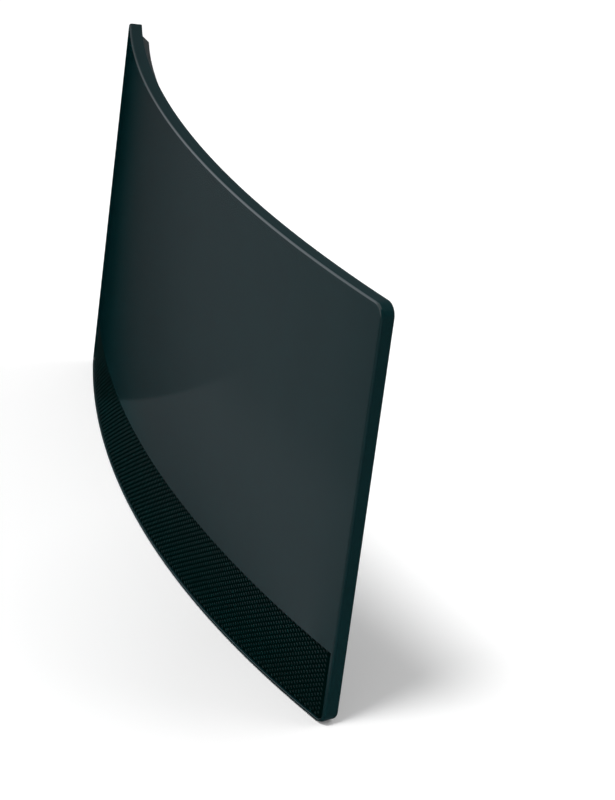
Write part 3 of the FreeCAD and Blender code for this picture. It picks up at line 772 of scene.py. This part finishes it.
# %% One screw
SHANK_RADIUS = 1.05 * MM
SHANK_LENGTH = 3.3 * MM
HEAD_RADIUS = 2.1 * MM
HEAD_HEIGHT = 1.3 * MM
SCREW_PROFILE = (  # radius, place along the screw
    (0.75 * SHANK_RADIUS, -SHANK_LENGTH),
    (SHANK_RADIUS, -0.9 * SHANK_LENGTH),
    (SHANK_RADIUS, 0),
    (HEAD_RADIUS, 0.02 * MM),
    (HEAD_RADIUS, 0.45 * HEAD_HEIGHT),
    (0.95 * HEAD_RADIUS, 0.68 * HEAD_HEIGHT),
    (0.83 * HEAD_RADIUS, 0.86 * HEAD_HEIGHT),
    (0.62 * HEAD_RADIUS, 0.96 * HEAD_HEIGHT),
    (0.30 * HEAD_RADIUS, HEAD_HEIGHT),
)
CROSS_HALF_WIDTH = 0.275 * MM
CROSS_REACH = 1.25 * MM
CROSS_DEPTH = 0.8 * MM
CROSS_TAPER = 0.7 * CROSS_DEPTH
CROSS_BOTTOM = HEAD_HEIGHT - CROSS_DEPTH
SCREW_CREASE = 35


def wedge_tip(a, b):
    """Short edges at the bottom of a wedge."""
    return at_depth(CROSS_BOTTOM)(a, b) and near(a.x, b.x)


screws = turned("case_screw_set", SCREW_PROFILE)
for turn in (0, QUARTER_TURN):
    low = (-CROSS_REACH, CROSS_BOTTOM, -CROSS_HALF_WIDTH)
    wedge = add_block("wedge", low, (CROSS_REACH, HEAD_HEIGHT + OVERCUT, CROSS_HALF_WIDTH))
    bevel_edges(wedge, wedge_tip, CROSS_TAPER, 1)
    put(wedge, (0, 0, 0), (0, turn, 0))
    cut_with(screws, wedge)
smooth(screws, SCREW_CREASE)
print("screw faces", len(screws.data.polygons))

# %% Four screws
SEAT_DEPTH = 5.85 * MM
SCREW_PLACES = (  # along the panel, up the panel
    (125.0 * MM, 118.0 * MM),
    (60.0 * MM, 36.0 * MM),
    (-125.0 * MM, 118.0 * MM),
    (-60.0 * MM, 36.0 * MM),
)

copies = [screws] + [copy_of(screws, "case_screw") for _ in SCREW_PLACES[1:]]
for piece, (x, rise) in zip(copies, SCREW_PLACES):
    back = BEND_RADIUS - math.sqrt((BEND_RADIUS - SEAT_DEPTH) ** 2 - x**2)
    put(piece, leaned(x, back, rise), (-LEAN, 0, 0))
join(copies)
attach(screws, "root")
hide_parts("case_screws")
print("screws", len(SCREW_PLACES), "faces", len(screws.data.polygons))

# %% [markdown]
# ## The coax socket
# The coax socket is a nickel-plated barrel with a fine thread. A true thread is a helix, but at
# this size rings look the same and close neatly, so the teeth are part of the turned profile. The
# insulator and the contact in its bore stay as they are.

# %% Coax socket
SOCKET_HEIGHT = 13.1 * MM
COAX_PLACE = (-14.0 * MM, 0, SOCKET_HEIGHT)
COAX_START = 12.2 * MM
COAX_SHOULDER = 18.15 * MM
COAX_MOUTH = 30.0 * MM
COAX_BASE_RADIUS = 5.4 * MM
COAX_ROOT_RADIUS = 4.55 * MM
COAX_CREST_RADIUS = 4.75 * MM
COAX_BORE_RADIUS = 3.1 * MM
COAX_MOUTH_CHAMFER = (0.2 * MM, 0.15 * MM)  # across and along
THREAD_START = 22.45 * MM
THREAD_TURNS = 9
THREAD_ENDS = 0.25  # plain ends, in pitches
THREAD_TOOTH = (  # radius, place in pitches
    (COAX_ROOT_RADIUS, 0), (COAX_CREST_RADIUS, 0.35),
    (COAX_CREST_RADIUS, 0.50), (COAX_ROOT_RADIUS, 0.85),
)
SOCKET_CREASE = 25

profile = [(COAX_BASE_RADIUS, COAX_START), (COAX_BASE_RADIUS, COAX_SHOULDER)]
profile += [(COAX_ROOT_RADIUS, COAX_SHOULDER + HAIR), (COAX_ROOT_RADIUS, THREAD_START)]
pitch = (COAX_MOUTH - THREAD_START) / (THREAD_TURNS + 2 * THREAD_ENDS)
for tooth in range(THREAD_TURNS):
    start = THREAD_START + (tooth + THREAD_ENDS) * pitch
    profile += [(radius, start + share * pitch) for radius, share in THREAD_TOOTH]
across, along = COAX_MOUTH_CHAMFER
profile += [(COAX_ROOT_RADIUS, COAX_MOUTH - along), (COAX_ROOT_RADIUS - across, COAX_MOUTH)]
barrel = turned("coax_barrel", profile)
bore = ((COAX_BORE_RADIUS, COAX_START - OVERCUT), (COAX_BORE_RADIUS, COAX_MOUTH + OVERCUT))
cut_with(barrel, turned("bore", bore))
put(barrel, COAX_PLACE)
smooth(barrel, SOCKET_CREASE)
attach(barrel, "root")
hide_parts("coax_jack_body")
print("coax barrel faces", len(barrel.data.polygons))

# %% [markdown]
# ## The hexagon nut
# The nut holds the socket to the foot. Its corners are chamfered on both faces, as on any turned
# nut. A bevel would cut along the edges, but the real chamfer is a cone, so a six-sided prism is
# kept only where it lies in a turned blank.

# %% Hexagon nut
NUT_SIDES = 6
NUT_TURN = math.radians(30)
NUT_START = 20.0 * MM
NUT_THICKNESS = 2.2 * MM
NUT_CORNER = 12.0 * MM / math.sqrt(3)
NUT_CHAMFER = 0.5 * MM
NUT_CLEARANCE = 0.05 * MM
BLANK_SIDES = 72
BLANK_SPARE = 0.1 * MM

nut_end = NUT_START + NUT_THICKNESS
nut = turned("coax_hexagon", ((NUT_CORNER, NUT_START), (NUT_CORNER, nut_end)), NUT_SIDES)
put(nut, (0, 0, 0), (0, NUT_TURN, 0))
face_radius = NUT_CORNER - 2 * NUT_CHAMFER
blank_radius = NUT_CORNER + BLANK_SPARE
blank = (
    (face_radius, NUT_START - HAIR),
    (blank_radius, NUT_START + NUT_CHAMFER),
    (blank_radius, nut_end - NUT_CHAMFER),
    (face_radius, nut_end + HAIR),
)
cut_with(nut, turned("blank", blank, BLANK_SIDES), "INTERSECT")
hole_radius = COAX_ROOT_RADIUS + NUT_CLEARANCE
hole = ((hole_radius, NUT_START - OVERCUT), (hole_radius, nut_end + OVERCUT))
cut_with(nut, turned("hole", hole))
put(nut, COAX_PLACE)
smooth(nut, SOCKET_CREASE)
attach(nut, "root")
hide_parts("coax_nut")
print("nut faces", len(nut.data.polygons))

# %% [markdown]
# ## The power socket
# The power socket is a plain black barrel with a blind bore, and its pin stays as it is. Its
# mouth is rounded inside and outside, which two rings of edges at one depth give in a single
# bevel.

# %% Power socket
POWER_PLACE = (16.0 * MM, 0, SOCKET_HEIGHT)
POWER_START = 12.2 * MM
POWER_MOUTH = 19.6 * MM
POWER_RADIUS = 3.8 * MM
POWER_BORE_RADIUS = 1.9 * MM
POWER_BORE_DEPTH = 6.0 * MM
MOUTH_ROUNDING = 0.35 * MM
MOUTH_STEPS = 3
JACK_CREASE = 35

jack = turned("power_barrel", ((POWER_RADIUS, POWER_START), (POWER_RADIUS, POWER_MOUTH)))
bottom = POWER_MOUTH - POWER_BORE_DEPTH
bore = ((POWER_BORE_RADIUS, bottom), (POWER_BORE_RADIUS, POWER_MOUTH + OVERCUT))
cut_with(jack, turned("bore", bore))
bevel_edges(jack, at_depth(POWER_MOUTH), MOUTH_ROUNDING, MOUTH_STEPS)
put(jack, POWER_PLACE)
smooth(jack, JACK_CREASE)
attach(jack, "root")
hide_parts("power_jack_body")
print("power socket faces", len(jack.data.polygons))

# %% [markdown]
# ## The rubber pads
# Four thin pads keep the plastic off the table, two under the panel and two under the back of the
# foot. Each is a block with rounded corners and a softened lower edge, so one helper makes both
# kinds, and the left ones are copies. The front ones are modelled flat and laid on the panel.

# %% Pads
PAD_TOP = 0.7 * MM
PAD_ROUNDING = 0.25 * MM
PAD_ROUNDING_STEPS = 3
PAD_CORNER_STEPS = 5
PAD_CREASE = 40
REAR_PAD_LOW = (24.0 * MM, 6.0 * MM, 0)
REAR_PAD_HIGH = (40.0 * MM, 14.0 * MM, PAD_TOP + PANEL_LIFT)
REAR_PAD_CORNER = 1.5 * MM
FRONT_PAD_MIDDLE = HALF_ARC - 38.0 * MM
FRONT_PAD_HALF = 8.0 * MM
FRONT_PAD_DEPTHS = (1.5 * MM, 3.5 * MM)
FRONT_PAD_CORNER = 0.8 * MM
FRONT_PAD_COLUMNS = 8


def upright(a, b):
    """Edges that lead from the bottom to the top of a pad."""
    return abs(a.z - b.z) > 0.5 * PAD_TOP


def at_height(height):
    """A test for edges that lie at one height."""
    return lambda a, b: near(a.z, height) and near(b.z, height)


def pad_block(name, low, high, corner):
    """A block with rounded corners and a softened lower edge."""
    pad = add_block(name, low, high)
    bevel_edges(pad, upright, corner, PAD_CORNER_STEPS)
    bevel_edges(pad, at_height(low[2]), PAD_ROUNDING, PAD_ROUNDING_STEPS)
    return pad


rear_right = pad_block("rear_foot_right", REAR_PAD_LOW, REAR_PAD_HIGH, REAR_PAD_CORNER)
rear_left = copy_of(rear_right, "rear_foot_left")
put(rear_left, (-REAR_PAD_LOW[0] - REAR_PAD_HIGH[0], 0, 0))
low = (FRONT_PAD_MIDDLE - FRONT_PAD_HALF, FRONT_PAD_DEPTHS[0], -PANEL_LIFT)
high = (FRONT_PAD_MIDDLE + FRONT_PAD_HALF, FRONT_PAD_DEPTHS[1], PAD_TOP)
front_right = pad_block("front_foot_right", low, high, FRONT_PAD_CORNER)
slice_evenly(front_right, low[0], 2 * FRONT_PAD_HALF, FRONT_PAD_COLUMNS, (1, 0, 0))
front_left = copy_of(front_right, "front_foot_left")
put(front_left, (-2 * FRONT_PAD_MIDDLE, 0, 0))
for pad in (front_right, front_left):
    lay_on_panel(pad)
pads = {
    "pad_rear_right": rear_right,
    "pad_rear_left": rear_left,
    "pad_front_right": front_right,
    "pad_front_left": front_left,
}
for node, pad in pads.items():
    smooth(pad, PAD_CREASE)
    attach(pad, "root")
    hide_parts(node)
lowest = min(vertex.co.z for pad in pads.values() for vertex in pad.data.vertices)
print("pads", len(pads), "lowest point", round(lowest, 6))

# %% [markdown]
# ## Finishes
# The housing is moulded plastic, glossy in front and matt behind, and the fittings are plated
# metal. Plain colours would look like paint. So each finish is a small tree of nodes on Object
# coordinates, which are metres here. Values that are the same all over sit on the shader itself,
# and only what varies is linked: a faint drift of colour, an uneven roughness and a fine bump at
# the scale of the real moulding or metal.

# %% Finish helpers
DRIFT_DETAIL = 4.0
DRIFT_SPAN = (0.3, 0.7)  # the part of the noise over which the colour goes from dark to light
GRAIN_DETAIL = 2.0
GRAIN_DEPTH = 0.1 * MM


def noise(nodes, links, scale, detail):
    """Socket with an even cloudy pattern."""
    cloud = nodes.new("ShaderNodeTexNoise")
    cloud.inputs["Scale"].default_value = scale
    cloud.inputs["Detail"].default_value = detail
    place = nodes.new("ShaderNodeTexCoord")
    links.new(place.outputs["Object"], cloud.inputs["Vector"])
    return cloud.outputs["Fac"]


def varied(name, dark, light, scale, rough, bump=0.0, bump_scale=0.0, metal=0.0, shine=0.5):
    """A finish whose colour and roughness drift, with a fine bump if asked for."""
    finish, nodes, links, shader = new_finish(name)
    drift = noise(nodes, links, scale, DRIFT_DETAIL)
    stops = tuple(zip(DRIFT_SPAN, ((*dark, 1), (*light, 1))))
    links.new(graded(nodes, links, drift, stops), shader.inputs["Base Color"])
    links.new(mapped(nodes, links, drift, *rough), shader.inputs["Roughness"])
    shader.inputs["Metallic"].default_value = metal
    shader.inputs["Specular IOR Level"].default_value = shine
    if bump:
        relief = nodes.new("ShaderNodeBump")
        relief.inputs["Strength"].default_value = bump
        relief.inputs["Distance"].default_value = GRAIN_DEPTH
        grain = noise(nodes, links, bump_scale, GRAIN_DETAIL)
        links.new(grain, relief.inputs["Height"])
        links.new(relief.outputs["Normal"], shader.inputs["Normal"])
    return finish


# %% [markdown]
# The plastics come first. The front is nearly black with a tinge of teal and mirrors sharply. The
# grille behind the dots is darker and dull, the dots themselves catch a little light, and the
# back is lighter and matt with a fine moulded grain.

# %% Finishes of plastic and rubber
gloss_charcoal = varied(
    "gloss_charcoal", (0.0022, 0.0186, 0.0208), (0.0026, 0.0204, 0.0226), 60, (0.05, 0.075)
)
grille_black = varied(
    "grille_black", (0.0001, 0.0044, 0.0040), (0.0002, 0.0058, 0.0052), 800, (0.5, 0.65),
    bump=0.15, bump_scale=6000, shine=0.0,
)
dot_charcoal = varied(
    "dot_charcoal", (0.0007, 0.0122, 0.0120), (0.0010, 0.0138, 0.0136), 300, (0.10, 0.16),
    shine=0.30,
)
rear_matt = varied(
    "rear_matt", (0.016, 0.023, 0.025), (0.021, 0.030, 0.032), 120, (0.46, 0.58),
    bump=0.5, bump_scale=2600,
)
jack_black = varied(
    "jack_black", (0.008, 0.009, 0.010), (0.012, 0.013, 0.014), 500, (0.35, 0.45),
    bump=0.2, bump_scale=4000,
)
insulator_white = varied(
    "insulator_white", (0.72, 0.71, 0.66), (0.80, 0.79, 0.75), 900, (0.4, 0.5)
)
pad_rubber = varied(
    "pad_rubber", (0.012, 0.012, 0.013), (0.020, 0.020, 0.021), 700, (0.75, 0.9),
    bump=0.5, bump_scale=3500,
)
board_green = varied(
    "board_green", (0.010, 0.075, 0.030), (0.014, 0.095, 0.040), 400, (0.3, 0.42),
    bump=0.1, bump_scale=5000,
)
print("plastic ready, gloss", gloss_charcoal.name, "back", rear_matt.name)

# %% [markdown]
# The metals differ in colour and in how smooth they are: nickel on the coax socket, brass on its
# contact, plain steel on the screws, and tinned sheet inside, where only an opened case shows it.

# %% Finishes of metal
screw_steel = varied(
    "screw_steel", (0.36, 0.36, 0.37), (0.50, 0.50, 0.51), 900, (0.28, 0.42),
    bump=0.15, bump_scale=5000, metal=1.0,
)
tinplate = varied(
    "tinplate", (0.55, 0.56, 0.57), (0.66, 0.67, 0.68), 150, (0.25, 0.4),
    bump=0.1, bump_scale=1500, metal=1.0,
)
tinned_copper = varied(
    "tinned_copper", (0.60, 0.58, 0.54), (0.70, 0.68, 0.64), 400, (0.25, 0.38), metal=1.0
)
nickel_plate = varied(
    "nickel_plate", (0.60, 0.57, 0.52), (0.70, 0.67, 0.62), 600, (0.16, 0.28), metal=1.0
)
contact_brass = varied(
    "contact_brass", (0.62, 0.43, 0.16), (0.72, 0.52, 0.22), 800, (0.2, 0.32), metal=1.0
)
print("metal ready, sockets", nickel_plate.name, "screws", screw_steel.name)

# %% [markdown]
# ## Dressing the pieces
# Each new piece gets the finish of the node that it stands for, and the nodes that stay get their
# own. A node that a new piece replaces is dressed too, so that it matches if it is ever shown.

# %% Dress the pieces
NODE_FINISHES = {
    "front_cover": gloss_charcoal,
    "grille_strip": grille_black,
    "rear_cover": rear_matt,
    "case_screws": screw_steel,
    "board_screws": screw_steel,
    "amplifier_board": board_green,
    "shield_can": tinplate,
    "coax_jack_body": nickel_plate,
    "coax_nut": nickel_plate,
    "coax_jack_insulator": insulator_white,
    "coax_jack_contact": contact_brass,
    "power_jack_body": jack_black,
    "power_jack_pin": nickel_plate,
    "antenna_plate_right": tinplate,
    "antenna_plate_left": tinplate,
    "feed_lead_right": tinned_copper,
    "feed_lead_left": tinned_copper,
    "pad_front_right": pad_rubber,
    "pad_front_left": pad_rubber,
    "pad_rear_right": pad_rubber,
    "pad_rear_left": pad_rubber,
}
NEW_PIECES = {
    "front_cover": front,
    "case_screws": screws,
    "coax_jack_body": barrel,
    "coax_nut": nut,
    "power_jack_body": jack,
    **pads,
}


def wear(piece, finish):
    """The piece shows this finish alone."""
    piece.data.materials.clear()
    piece.data.materials.append(finish)


wear(dots, dot_charcoal)
for node, piece in NEW_PIECES.items():
    wear(piece, NODE_FINISHES[node])
for node, finish in NODE_FINISHES.items():
    wear(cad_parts[node], finish)
print("nodes with a finish", len(NODE_FINISHES), "of", len(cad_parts))
